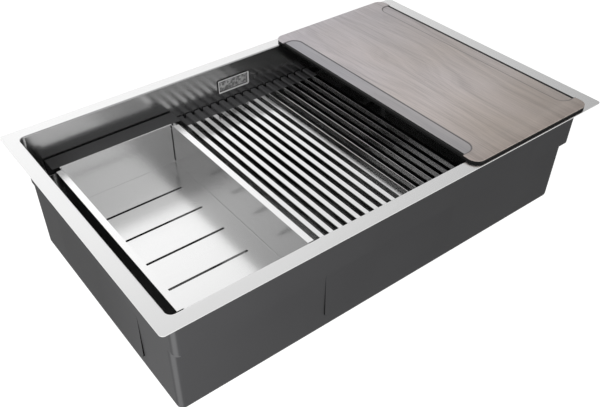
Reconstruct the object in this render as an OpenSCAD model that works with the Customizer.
// Workstation kitchen sink: a folded steel bowl with a ledge along its front and back walls,
// and a colander, a roll-up rack and a cutting board that slide along it.
// Origin: middle of the rim's top plane. X runs along the sink, Y to the back, Z up. Millimetres.

/* [Bowl] */
// Length of the rim, left to right
sink_l = 914; // [840:1:1000]
// Depth of the rim, front to back
sink_d = 558; // [520:1:600]
// Height from the rim's top to the underside of the bottom
sink_h = 228; // [205:1:260]
// Width of the flat rim
rim_w = 26; // [22:1:32]
// Corner radius of the rim's outline
rim_r = 7; // [2:1:14]
// Thickness of the bowl's steel sheet
sheet_t = 1.5; // [1:0.1:2]
// Inner radius of the upright corners and of the bends at the bottom
bend_r = 10; // [9:1:18]
// Outer radius of the bends at the rim's inner edge and at the ledges' edges
edge_r = 2.5; // [1:0.1:3]
// Depth of the ledges below the rim's top
ledge_z = 86; // [82:1:95]
// Width of each ledge
ledge_w = 11.5; // [10:0.5:14]
// Width of the drainage creases pressed into the bottom
crease_w = 4; // [2:0.5:6]
// Depth of the drainage creases
crease_h = 0.6; // [0.3:0.1:0.8]

/* [Sound pads] */
// Thickness of the pads stuck to the outside
pad_t = 2.5; // [1.5:0.5:4]
// Corner radius of the pads
pad_r = 10; // [4:1:20]
// Height of the wall pads
pad_h = 100; // [70:1:104]
// Distance of the wall pads below the ledge
pad_drop = 12; // [4:1:16]
// Length of the front and back pads
pad_l = 288; // [200:1:500]
// Place of the front and back pads, to the right of the sink's middle
pad_x = -11; // [-60:1:60]
// Length of the left and right pads
pad_side_l = 280; // [150:1:360]
// Length of each pad under the bottom
pad_floor_l = 250; // [150:1:280]
// Depth of each pad under the bottom
pad_floor_d = 300; // [200:1:380]

/* [Overflow] */
// Place of the overflow to the right of the sink's middle
overflow_x = 8; // [-100:1:100]
// Distance of the overflow's middle below the rim's top
overflow_drop = 44; // [36:1:52]
// Length of the overflow's frame
overflow_l = 75; // [65:1:90]
// Height of the overflow's frame
overflow_h = 30; // [26:1:34]
// How far the frame stands out from the wall
overflow_out = 2.2; // [1.5:0.1:3]
// Width of the frame's visible border
overflow_border = 3.5; // [3:0.5:5]
// Gap round the insert that the water enters by
overflow_gap = 1.5; // [1.5:0.5:3.5]
// Depth of the housing behind the wall
housing_d = 18.5; // [16:0.5:20]
// Wall thickness of the housing
housing_t = 2; // [1.5:0.1:2.5]
// Outer diameter of the overflow's hose spigot
spigot_d = 16; // [13:1:16]
// Length of the hose spigot
spigot_l = 28; // [18:1:40]
// How far the frame's border covers the wall round its hole
hole_lip = 2.2; // [1.8:0.1:2.5]
// Diameter of the screws that hold the frame
screw_d = 4; // [3:0.5:4]
// Length of the screws in the housing
screw_len = 8; // [6:0.5:10]

/* [Drain] */
// Place of the drain to the right of the sink's middle
drain_x = 0; // [-40:1:40]
// Distance from the basin's back wall to the drain's middle
drain_back = 131; // [100:1:180]
// Diameter of the hole in the bottom
drain_d = 90; // [86:1:96]
// Diameter of the strainer's flange
flange_d = 114; // [110:1:118]
// Depth of the pressed seat that the flange lies in
seat_h = 3; // [2.8:0.1:4]
// Thickness of the strainer's metal
strainer_t = 1.5; // [1:0.1:2]
// Depth of the strainer's cup below its seat
cup_h = 48; // [42:1:60]
// Outer diameter of the waste outlet
outlet_d = 47; // [40:1:48]
// Length of the waste outlet
outlet_l = 30; // [20:1:40]
// Height of the locknut
locknut_h = 12; // [8:1:16]
// Height of the perforated basket
basket_h = 38; // [30:1:40]
// Diameter of the basket's holes
basket_hole_d = 4; // [3:0.5:5]
// Thickness of the basket's sheet
basket_t = 1; // [0.8:0.1:1.2]
// Number of upright slots round the basket
basket_slot_n = 18; // [10:1:22]
// Number of grip lugs round the locknut
lug_n = 8; // [4:1:12]

/* [Colander] */
// Distance from the basin's left wall to the colander's side flange
colander_gap = 34.5; // [20:0.5:40]
// Width of the colander's inside, left to right
colander_w = 223.5; // [180:0.5:240]
// Depth of the colander's inside, front to back
colander_d = 427; // [380:1:440]
// Height of the colander's top above the ledge
colander_rise = 29; // [18:1:32]
// Depth of the colander's inside
colander_h = 86.5; // [60:0.5:100]
// Thickness of the colander's sheet
colander_t = 1.2; // [0.8:0.1:1.5]
// Width of the colander's side flanges
side_flange_w = 11.5; // [8:0.5:18]
// How far the end flanges reach past the left side flange
end_flange_left = 3; // [0:0.5:8]
// How far the end flanges reach past the right side flange
end_flange_right = 11; // [0:0.5:12]
// Distance from the side flanges' ends to the end walls
flange_gap = 9; // [3:0.5:12]
// Inner radius of the bends at the colander's bottom
colander_bend_r = 1; // [1:0.5:8]
// Outer radius of the bend from the end walls into the end flanges
flange_bend_r = 1.5; // [1.5:0.5:8]
// Width of the open seams at the colander's upright corners
seam_w = 1.5; // [0.8:0.1:2]
// Length of the drain slots
slot_l = 157; // [100:1:170]
// Width of the drain slots
slot_w = 5; // [2:0.5:6]
// How far the middle slot lies in front of the colander's middle
slot_shift = 10.5; // [-12:0.5:12]
// Distance between the drain slots
slot_pitch = 73; // [60:0.5:80]
// Number of drain slots
slot_n = 5; // [3:1:5]

/* [Roll-up rack] */
// Number of rods
rod_n = 17; // [10:1:17]
// Distance between the rods' middles
rod_pitch = 19.5; // [18:0.5:21]
// Width of the square rods
rod_w = 10; // [8:0.5:11]
// Wall thickness of the square rods
rod_t = 1; // [0.6:0.1:1.5]
// Corner radius of the square rods
rod_r = 1.2; // [0.5:0.1:2]
// Gap between the colander's end flange and the rack
rack_gap = 12; // [11:0.5:30]
// Length of the silicone sleeves on the rods' ends
sleeve_l = 35; // [20:1:50]
// Wall thickness of the silicone sleeves
sleeve_t = 0.8; // [0.6:0.1:1.2]
// Thickness of the web between the sleeves
web_t = 2.4; // [1.5:0.1:4]
// Length of the notches at both ends of each web
web_notch = 5; // [2:1:10]
// Closed end of each sleeve past its rod
sleeve_end = 4; // [2:0.5:6]

/* [Cutting board] */
// Width of the board, left to right
board_w = 295; // [240:1:340]
// Distance from the board's edge to the rim's outer edge, front and back
board_inset = 4.5; // [3:0.5:8]
// Distance from the basin's right wall to the board
board_gap = 7; // [4:1:30]
// Thickness of the board's dark core
board_core_t = 5; // [4:0.5:14]
// Thickness of the board's wood-grain face
board_face_t = 1.5; // [1.2:0.1:2]
// Corner radius of the board
board_r = 18; // [10:1:26]
// Width of the lowered grip bands along the board's sides
grip_w = 33; // [24:1:45]
// Depth of the grip bands
grip_h = 0.9; // [0.5:0.1:1]
// Distance from the board's front and back edges to the grip bands
grip_end = 30; // [24:1:80]
// Corner radius of the grip bands
grip_r = 20; // [8:1:22]
// Width of the core's dark edge that shows beside the grip bands
grip_edge_w = 3.5; // [1:0.5:6]

/* [Hidden] */
$fn = 64;
eps = 0.01;            // overlap that joins two shapes of one piece
past = 1;              // how far a cut runs past the faces that it opens
slip = 0.5;            // play between pieces that lift out of each other

// Bowl
inner_l = sink_l - 2 * rim_w;
inner_d = sink_d - 2 * rim_w;
basin_d = inner_d - 2 * ledge_w;
floor_z = -(sink_h - sheet_t);
edge_cut_r = min(edge_r, 1.7 * sheet_t);   // so that the sheet keeps its wall at the bend
crease_start = 4;      // from the drain's seat to the creases
crease_end = 3 * bend_r;                   // from the walls to the creases

// Sound pads
pad_z = -(ledge_z + sheet_t + pad_drop + pad_h / 2);

// Overflow, in its own frame on the back wall: local Z points into the basin
overflow_hole_l = overflow_l - 2 * hole_lip;
overflow_hole_h = overflow_h - 2 * hole_lip;
tube_play = 0.3;       // between the frame's tube and the hole
tube_l = overflow_hole_l - 2 * tube_play;
tube_h = overflow_hole_h - 2 * tube_play;
tube_run = 7;          // how far the frame's tube runs on behind the wall
tube_end = -(sheet_t + tube_run);
tube_floor_t = 1.2;    // the floor that the insert stands on and the screws hold
tube_floor_lip = 2;    // what is left of that floor round its window
pocket_l = overflow_l - 2 * overflow_border;
pocket_h = overflow_h - 2 * overflow_border;
pocket_r = 2;
frame_r = 4.5;
insert_l = pocket_l - 2 * overflow_gap;
insert_h = pocket_h - 2 * overflow_gap;
insert_t = 1.2;
insert_sunk = 0.6;     // how far the insert lies below the frame's face
insert_z = overflow_out - insert_sunk - insert_t;
foot_r = 1.2;
foot_inset = 2;
gasket_t = 1.5;
housing_flange = 4.5;
housing_flange_t = 2;
housing_r = 2 * pocket_r;
housing_face = -(sheet_t + gasket_t);
housing_back = housing_face - housing_flange_t - housing_d;
bead_h = 0.8;          // ring that holds the hose on the spigot
bead_l = 3;
boss_wall = 2;
boss_d = screw_d + 2 * boss_wall;
screw_x = insert_l / 2 - boss_d / 2;
screw_head_r = 0.9 * screw_d;
screw_head_h = 1.6;
screw_slot_w = 0.8;
screw_slot_h = 0.7;

// Drain, in its own frame: local Z = 0 is the top of the pressed seat
drain_y = basin_d / 2 - drain_back;
seat_play = 2;         // round the flange, in its pressed seat
seat_d = flange_d + 2 * seat_play;
flange_sunk = 0.3;     // how far the flange lies below the bottom
flange_seal_t = seat_h - strainer_t - flange_sunk;
cup_play = 1.5;        // between the cup and the hole in the bottom
cup_r = drain_d / 2 - cup_play;
cup_floor = -cup_h;
outlet_r = outlet_d / 2;
bar_w = 2;             // cross bars over the outlet
bar_h = 3;
under_seal_t = 3;
friction_t = 1;
under_r = flange_d / 2 - 1;
nut_flange_h = 3;
nut_wall = 7.5;
lug_w = 6;
lug_out = 4;
seal_t = 4;
seal_lip = 2;          // how far the basket's seal covers the floor round the outlet
seal_r = outlet_r + seal_lip;
basket_play = 2;       // between the basket and the cup
basket_r = cup_r - strainer_t - basket_play;
basket_floor = cup_floor + strainer_t + seal_t;
hole_ring_n = 3;       // rings of holes in the basket's floor
hole_ring_step = 7.5;
hole_ring_start = 7;
basket_slot_z = 5;     // from the basket's floor to its slots
post_r = 4;
post_foot_h = 1.5;
knob_r = 9;
knob_h = 6;
knob_bevel = 1;
knob_drop = 8;         // from the basket's rim to the knob's underside

// Colander
colander_top = -(ledge_z - colander_rise);
flange_x0 = -inner_l / 2 + colander_gap;
colander_x = flange_x0 + side_flange_w + colander_w / 2;
colander_outer_w = colander_w + 2 * side_flange_w;
end_flange_l = colander_outer_w + end_flange_left + end_flange_right;
end_flange_x = (end_flange_right - end_flange_left) / 2;   // from the colander's middle to theirs
hem_play = 3.5;        // between the walls and the colander's hems
hem_y = inner_d / 2 - hem_play;
side_flange_d = colander_d - 2 * flange_gap;

// Roll-up rack
strip_play = 2;        // between the walls and the rack's strips
sleeve_w = rod_w + 2 * sleeve_t;
rod_z = -ledge_z + sleeve_w / 2;
rack_x0 = colander_x + end_flange_x + end_flange_l / 2 + rack_gap + sleeve_w / 2;
sleeve_y1 = inner_d / 2 - strip_play;
sleeve_y0 = sleeve_y1 - sleeve_l;
rod_l = 2 * (sleeve_y1 - sleeve_end);

// Cutting board
board_d = sink_d - 2 * board_inset;
board_x = inner_l / 2 - board_gap - board_w / 2;

// ---------- shared shapes ----------

module rounded_rect(w, d, r) {
    square([w - 2 * r, d], center = true);
    square([w, d - 2 * r], center = true);
    for (sx = [-1, 1], sy = [-1, 1])
        translate([sx * (w / 2 - r), sy * (d / 2 - r)]) circle(r = r);
}

module rounded_plate(w, d, t, r) {
    linear_extrude(height = t) rounded_rect(w, d, r);
}

module ring(r_out, r_in, t) {
    difference() {
        cylinder(r = r_out, h = t);
        translate([0, 0, -past]) cylinder(r = r_in, h = t + 2 * past);
    }
}

module round_slot(l, w, t) {
    linear_extrude(height = t) {
        square([l - w, w], center = true);
        for (s = [-1, 1]) translate([s * (l - w) / 2, 0]) circle(r = w / 2);
    }
}

// A block with rounded upright corners and rounded bottom edges, its top at z = 0
module basin_solid(w, d, h, r) {
    translate([0, 0, r - h]) rounded_plate(w, d, h - r, r);
    translate([0, 0, -h]) linear_extrude(height = r) square([w - 2 * r, d - 2 * r], center = true);
    for (s = [-1, 1]) {
        translate([0, s * (d / 2 - r), r - h]) rotate([0, 90, 0])
            cylinder(r = r, h = w - 2 * r, center = true);
        translate([s * (w / 2 - r), 0, r - h]) rotate([90, 0, 0])
            cylinder(r = r, h = d - 2 * r, center = true);
        for (u = [-1, 1])
            translate([s * (w / 2 - r), u * (d / 2 - r), r - h]) sphere(r = r);
    }
}

// ---------- bowl ----------

module bowl_outside() {
    translate([0, 0, -sheet_t]) rounded_plate(sink_l, sink_d, sheet_t, rim_r);
    translate([0, 0, -ledge_z - sheet_t])
        rounded_plate(inner_l + 2 * sheet_t, inner_d + 2 * sheet_t, ledge_z + sheet_t, bend_r + sheet_t);
    basin_solid(inner_l + 2 * sheet_t, basin_d + 2 * sheet_t, sink_h, bend_r + sheet_t);
    translate([drain_x, drain_y, floor_z - seat_h - sheet_t])
        cylinder(r = seat_d / 2 + sheet_t, h = seat_h + sheet_t);
}

// What a bend takes off a sharp edge: X points away from the opening, Y up, the edge at 0, 0
module bend_section(r) {
    difference() {
        translate([-past, -r]) square([r + past, r + past]);
        translate([r, -r]) circle(r = r);
    }
}

// The bend along the edge of a rounded opening, its top plane at z = 0
module bend_round_opening(w, d, r_corner, r) {
    for (s = [-1, 1]) {
        translate([0, s * d / 2, 0]) rotate([90, 0, 90 * s])
            linear_extrude(height = w - 2 * r_corner, center = true) bend_section(r);
        translate([s * w / 2, 0, 0]) rotate([90, 0, 90 - 90 * s])
            linear_extrude(height = d - 2 * r_corner, center = true) bend_section(r);
        for (u = [-1, 1])
            translate([s * (w / 2 - r_corner), u * (d / 2 - r_corner), 0]) rotate_extrude()
                translate([r_corner, 0]) bend_section(r);
    }
}

// The bends at the ledges' edges, kept clear of the side walls
module ledge_bends() {
    intersection() {
        translate([0, 0, -ledge_z]) bend_round_opening(inner_l, basin_d, bend_r, edge_cut_r);
        translate([0, 0, -ledge_z - edge_cut_r - past])
            rounded_plate(inner_l, inner_d, edge_cut_r + 3 * past, bend_r);
    }
}

module bowl_inside() {
    translate([0, 0, -ledge_z]) rounded_plate(inner_l, inner_d, ledge_z + past, bend_r);
    basin_solid(inner_l, basin_d, sink_h - sheet_t, bend_r);
    bend_round_opening(inner_l, inner_d, bend_r, edge_cut_r);
    ledge_bends();
    translate([drain_x, drain_y, floor_z - seat_h]) cylinder(r = seat_d / 2, h = seat_h + past);
    translate([drain_x, drain_y, floor_z - seat_h - 2 * sheet_t])
        cylinder(r = drain_d / 2, h = seat_h + 3 * sheet_t);
}

// V-shaped creases that lead the water from the four corners to the drain
module creases() {
    for (sx = [-1, 1], sy = [-1, 1]) {
        dx = sx * (inner_l / 2 - crease_end) - drain_x;
        dy = sy * (basin_d / 2 - crease_end) - drain_y;
        start = seat_d / 2 + crease_start;
        translate([drain_x, drain_y, floor_z]) rotate([0, 0, atan2(dy, dx)])
            translate([start, 0, 0]) rotate([90, 0, 90])
                linear_extrude(height = norm([dx, dy]) - start)
                    polygon([[-crease_w / 2, 0], [0, -crease_h], [crease_w / 2, 0], [0, past]]);
    }
}

module sink_bowl() {
    color("gainsboro") difference() {
        bowl_outside();
        bowl_inside();
        creases();
        at_overflow() translate([0, 0, -2 * sheet_t])
            rounded_plate(overflow_hole_l, overflow_hole_h, 3 * sheet_t, pocket_r);
    }
}

// ---------- sound pads ----------

module wall_pad(l) {
    rounded_plate(l, pad_h, pad_t, pad_r);
}

module front_sound_pad() {
    color("dimgray") translate([pad_x, -basin_d / 2 - sheet_t, pad_z]) rotate([90, 0, 0]) wall_pad(pad_l);
}

module back_sound_pad() {
    color("dimgray") translate([pad_x, basin_d / 2 + sheet_t, pad_z]) rotate([-90, 0, 0]) wall_pad(pad_l);
}

module left_sound_pad() {
    color("dimgray") translate([-inner_l / 2 - sheet_t, 0, pad_z]) rotate([90, 0, -90])
        wall_pad(pad_side_l);
}

module right_sound_pad() {
    color("dimgray") translate([inner_l / 2 + sheet_t, 0, pad_z]) rotate([90, 0, 90])
        wall_pad(pad_side_l);
}

module bottom_sound_pads() {
    color("dimgray") for (s = [-1, 1])
        translate([s * (inner_l / 2 - 2 * bend_r - pad_floor_l / 2), 0, -sink_h - pad_t])
            rounded_plate(pad_floor_l, pad_floor_d, pad_t, pad_r);
}

// ---------- overflow ----------

module at_overflow() {
    translate([overflow_x, inner_d / 2, -overflow_drop]) rotate([90, 0, 0]) children();
}

module overflow_frame() {
    color("silver") at_overflow() difference() {
        union() {
            rounded_plate(overflow_l, overflow_h, overflow_out, frame_r);
            translate([0, 0, tube_end]) rounded_plate(tube_l, tube_h, -tube_end + eps, pocket_r);
        }
        translate([0, 0, tube_end + tube_floor_t])
            rounded_plate(pocket_l, pocket_h, overflow_out - tube_end, pocket_r / 2);
        translate([0, 0, tube_end - past])
            rounded_plate(2 * (screw_x - boss_d), pocket_h - 2 * tube_floor_lip, tube_floor_t + 2 * past,
                          pocket_r);
        for (s = [-1, 1]) translate([s * screw_x, 0, tube_end - past])
            cylinder(r = screw_d / 2, h = tube_floor_t + 2 * past);
    }
}

module overflow_insert() {
    foot_z = tube_end + tube_floor_t;
    color("gainsboro") at_overflow() {
        translate([0, 0, insert_z]) rounded_plate(insert_l, insert_h, insert_t, pocket_r);
        for (sx = [-1, 1], sy = [-1, 1])
            translate([sx * (insert_l / 2 - foot_inset), sy * (insert_h / 2 - foot_inset), foot_z])
                cylinder(r = foot_r, h = insert_z - foot_z + eps);
    }
}

module overflow_gasket() {
    color("dimgray") at_overflow() translate([0, 0, housing_face]) difference() {
        rounded_plate(overflow_l + 2 * housing_flange, overflow_h + 2 * housing_flange, gasket_t,
                      housing_r);
        translate([0, 0, -past])
            rounded_plate(overflow_hole_l, overflow_hole_h, gasket_t + 2 * past, pocket_r);
    }
}

module overflow_housing() {
    body_l = overflow_hole_l + 2 * housing_t;
    body_h = overflow_hole_h + 2 * housing_t;
    spigot_z = housing_face - housing_flange_t - housing_d / 2;
    color("whitesmoke") at_overflow() difference() {
        union() {
            difference() {
                union() {
                    translate([0, 0, housing_face - housing_flange_t])
                        rounded_plate(overflow_l + 2 * housing_flange, overflow_h + 2 * housing_flange,
                                      housing_flange_t, housing_r);
                    translate([0, 0, housing_back])
                        rounded_plate(body_l, body_h, housing_d + eps, housing_r);
                }
                translate([0, 0, housing_back + housing_t])
                    rounded_plate(overflow_hole_l, overflow_hole_h,
                                  housing_face - housing_back - housing_t + past, pocket_r);
            }
            for (s = [-1, 1]) translate([s * screw_x, 0, housing_back])
                cylinder(r = boss_d / 2, h = tube_end - housing_back);
            translate([0, -overflow_hole_h / 2 - eps, spigot_z]) rotate([90, 0, 0]) {
                cylinder(r = spigot_d / 2, h = spigot_l + housing_t);
                translate([0, 0, housing_t]) cylinder(r = spigot_d / 2 + bead_h, h = bead_l);
            }
        }
        for (s = [-1, 1]) translate([s * screw_x, 0, tube_end - screw_len])
            cylinder(r = screw_d / 2, h = screw_len + past);
        translate([0, -overflow_hole_h / 2 + past, spigot_z]) rotate([90, 0, 0])
            cylinder(r = spigot_d / 2 - housing_t, h = spigot_l + housing_t + 3 * past);
    }
}

module overflow_screws() {
    color("silver") at_overflow() for (s = [-1, 1])
        translate([s * screw_x, 0, tube_end + tube_floor_t]) {
            translate([0, 0, -tube_floor_t - screw_len])
                cylinder(r = screw_d / 2, h = tube_floor_t + screw_len);
            difference() {
                cylinder(r = screw_head_r, h = screw_head_h);
                translate([0, 0, screw_head_h])
                    cube([3 * screw_head_r, screw_slot_w, 2 * screw_slot_h], center = true);
            }
        }
}

// ---------- drain ----------

module at_drain() {
    translate([drain_x, drain_y, floor_z - seat_h]) children();
}

// Turned profile of the strainer: flange, cup, floor and outlet
module strainer_profile() {
    r_in = cup_r - strainer_t;
    flange_z = flange_seal_t;
    polygon([
        [r_in, flange_z + strainer_t], [r_in, cup_floor + strainer_t],
        [outlet_r - strainer_t, cup_floor + strainer_t],
        [outlet_r - strainer_t, cup_floor - outlet_l], [outlet_r, cup_floor - outlet_l],
        [outlet_r, cup_floor], [cup_r, cup_floor], [cup_r, flange_z],
        [flange_d / 2, flange_z], [flange_d / 2 - strainer_t, flange_z + strainer_t]
    ]);
}

module strainer_body() {
    color("silver") at_drain() {
        rotate_extrude() strainer_profile();
        for (a = [0, 90]) rotate([0, 0, a])
            translate([-outlet_r + strainer_t / 2, -bar_w / 2, cup_floor + strainer_t - bar_h])
                cube([2 * outlet_r - strainer_t, bar_w, bar_h]);
    }
}

module flange_gasket() {
    color("black") at_drain() ring(flange_d / 2 - 1, cup_r, flange_seal_t);
}

module under_gasket() {
    color("black") at_drain() translate([0, 0, -sheet_t - under_seal_t])
        ring(under_r, cup_r, under_seal_t);
}

module friction_ring() {
    color("tan") at_drain() translate([0, 0, -sheet_t - under_seal_t - friction_t])
        ring(under_r, cup_r, friction_t);
}

module locknut() {
    top = -sheet_t - under_seal_t - friction_t;
    color("gray") at_drain() translate([0, 0, top - locknut_h]) {
        ring(cup_r + nut_wall, cup_r, locknut_h);
        translate([0, 0, locknut_h - nut_flange_h]) ring(under_r, cup_r + eps, nut_flange_h);
        for (i = [0:lug_n - 1]) rotate([0, 0, i * 360 / lug_n])
            translate([cup_r + nut_wall / 2, -lug_w / 2, 0])
                cube([nut_wall / 2 + lug_out, lug_w, locknut_h - nut_flange_h + eps]);
    }
}

module strainer_basket() {
    rim_top = basket_floor + basket_h;
    color("silver") at_drain() difference() {
        rotate_extrude() polygon([
            [0, basket_floor], [basket_r, basket_floor], [basket_r, rim_top - basket_t],
            [cup_r - strainer_t - slip, rim_top - basket_t], [cup_r - strainer_t - slip, rim_top],
            [basket_r - basket_t, rim_top], [basket_r - basket_t, basket_floor + basket_t],
            [0, basket_floor + basket_t]
        ]);
        for (k = [1:hole_ring_n], i = [0:6 * k - 1]) rotate([0, 0, i * 60 / k])
            translate([hole_ring_start + k * hole_ring_step, 0, basket_floor - past])
                cylinder(r = basket_hole_d / 2, h = basket_t + 2 * past);
        for (i = [0:basket_slot_n - 1]) rotate([0, 0, i * 360 / basket_slot_n])
            translate([basket_r - basket_t - past, -basket_hole_d / 2, basket_floor + basket_slot_z])
                cube([basket_t + 2 * past, basket_hole_d, basket_h - basket_t - 2 * basket_slot_z]);
        translate([0, 0, basket_floor - past]) cylinder(r = post_r, h = basket_t + 2 * past);
    }
}

module basket_seal() {
    color("black") at_drain() translate([0, 0, cup_floor + strainer_t])
        ring(seal_r, post_r, seal_t);
}

module basket_post() {
    foot = cup_floor + strainer_t + slip;
    collar = basket_floor + basket_t;
    knob = basket_floor + basket_h - knob_drop;
    color("silver") at_drain() rotate_extrude() polygon([
        [0, foot], [post_r, foot], [post_r, collar], [1.75 * post_r, collar],
        [1.75 * post_r, collar + post_foot_h], [0.75 * post_r, collar + post_foot_h],
        [0.75 * post_r, knob], [knob_r, knob + 2 * knob_bevel],
        [knob_r, knob + knob_h - knob_bevel], [knob_r - knob_bevel, knob + knob_h], [0, knob + knob_h]
    ]);
}

// ---------- colander ----------

// Outline of a tray: square at the top, with rounded bottom corners, its top at y = 0
module tray_section(w, h, r) {
    translate([-w / 2, r - h]) square([w, h - r]);
    translate([-w / 2 + r, -h]) square([w - 2 * r, r + eps]);
    for (s = [-1, 1]) translate([s * (w / 2 - r), r - h]) circle(r = r);
}

// A folded tray: two bent sections crossed, so its upright corners are sharp.
// Its inside runs on by `over` above its top.
module tray_solid(w, d, h, r, over) {
    intersection() {
        rotate([90, 0, 0]) linear_extrude(height = d, center = true) {
            tray_section(w, h, r);
            translate([-w / 2, -eps]) square([w, over + eps]);
        }
        rotate([90, 0, 90]) linear_extrude(height = w, center = true) {
            tray_section(d, h, r);
            translate([-d / 2, -eps]) square([d, over + eps]);
        }
    }
}

// Quarter bend from the top of an end wall into its flange, seen from the side
module flange_bend_section() {
    r = flange_bend_r;
    translate([colander_d / 2 + r, -r]) difference() {
        circle(r = r);
        circle(r = r - colander_t);
        translate([0, -2 * r]) square([2 * r, 4 * r]);
        translate([-2 * r, -2 * r]) square([4 * r, 2 * r]);
    }
}

// Flat end flange and the hem that stands on the ledge, seen from the side
module end_flange_section() {
    flat_y = colander_d / 2 + flange_bend_r;
    translate([flat_y, -colander_t]) square([hem_y - flat_y, colander_t]);
    translate([hem_y - colander_t, -colander_rise]) square([colander_t, colander_rise]);
}

module across_end(side, l) {
    rotate([90, 0, 90 + 90 * (1 - side)]) linear_extrude(height = l, center = true) children();
}

// The end walls are folded up beside the side walls and left open along the corners
module corner_seams() {
    seam_low = -colander_h + colander_bend_r + colander_t;
    for (sx = [-1, 1], sy = [-1, 1])
        translate([sx * (colander_w - seam_w) / 2, sy * (colander_d + colander_t) / 2,
                   (seam_low - flange_bend_r) / 2])
            cube([seam_w, colander_t + 2 * past, -seam_low - flange_bend_r], center = true);
}

module colander() {
    slot_low = -colander_h - colander_t - past;
    color("lightgray") translate([colander_x, 0, colander_top]) difference() {
        union() {
            translate([0, 0, -flange_bend_r])
                tray_solid(colander_w + 2 * colander_t, colander_d + 2 * colander_t,
                           colander_h + colander_t - flange_bend_r, colander_bend_r + colander_t, 0);
            for (s = [-1, 1]) {
                translate([s * (colander_w / 2 + side_flange_w / 2), 0, -colander_t / 2])
                    cube([side_flange_w, side_flange_d, colander_t], center = true);
                translate([s * (colander_w / 2 + colander_t / 2), 0, -flange_bend_r])
                    cube([colander_t, side_flange_d, 2 * flange_bend_r - 2 * eps], center = true);
                across_end(s, colander_w + 2 * colander_t) flange_bend_section();
                translate([end_flange_x, 0, 0]) across_end(s, end_flange_l) end_flange_section();
            }
        }
        translate([0, 0, -flange_bend_r])
            tray_solid(colander_w, colander_d, colander_h - flange_bend_r, colander_bend_r,
                       flange_bend_r + past);
        corner_seams();
        for (i = [0:slot_n - 1])
            translate([0, (i - (slot_n - 1) / 2) * slot_pitch - slot_shift, slot_low])
                round_slot(slot_l, slot_w, colander_t + 2 * past);
    }
}

// ---------- roll-up rack ----------

module along_rack() {
    for (i = [0:rod_n - 1]) translate([rack_x0 + i * rod_pitch, 0, rod_z]) children();
}

module rack_rods() {
    color("gainsboro") along_rack() rotate([90, 0, 0])
        linear_extrude(height = rod_l, center = true) difference() {
            rounded_rect(rod_w, rod_w, rod_r);
            square([rod_w - 2 * rod_t, rod_w - 2 * rod_t], center = true);
        }
}

module rack_strip() {
    difference() {
        union() {
            along_rack() translate([0, sleeve_y1, 0]) rotate([90, 0, 0])
                rounded_plate(sleeve_w, sleeve_w, sleeve_l, rod_r + sleeve_t);
            translate([rack_x0, sleeve_y0 + web_notch, rod_z - web_t / 2])
                cube([(rod_n - 1) * rod_pitch, sleeve_l - 2 * web_notch, web_t]);
        }
        along_rack() translate([0, sleeve_y1 - sleeve_end, 0]) rotate([90, 0, 0])
            rounded_plate(rod_w, rod_w, sleeve_l, rod_r);
    }
}

module rack_strip_back() {
    color("dimgray") rack_strip();
}

module rack_strip_front() {
    color("dimgray") mirror([0, 1, 0]) rack_strip();
}

// ---------- cutting board ----------

module board_core() {
    color("black") translate([board_x, 0, 0]) rounded_plate(board_w, board_d, board_core_t, board_r);
}

module board_face() {
    band_l = board_d - 2 * grip_end;
    color("rosybrown") translate([board_x, 0, board_core_t]) difference() {
        rounded_plate(board_w, board_d, board_face_t, board_r);
        for (s = [-1, 1]) translate([s * board_w / 2, 0, 0]) {
            translate([0, 0, board_face_t - grip_h])
                rounded_plate(2 * grip_w, band_l, grip_h + past, grip_r);
            cube([2 * grip_edge_w, band_l, 2 * board_face_t + past], center = true);
        }
    }
}

sink_bowl();
front_sound_pad();
back_sound_pad();
left_sound_pad();
right_sound_pad();
bottom_sound_pads();
overflow_frame();
overflow_insert();
overflow_gasket();
overflow_housing();
overflow_screws();
strainer_body();
flange_gasket();
under_gasket();
friction_ring();
locknut();
strainer_basket();
basket_seal();
basket_post();
colander();
rack_rods();
rack_strip_front();
rack_strip_back();
board_core();
board_face();
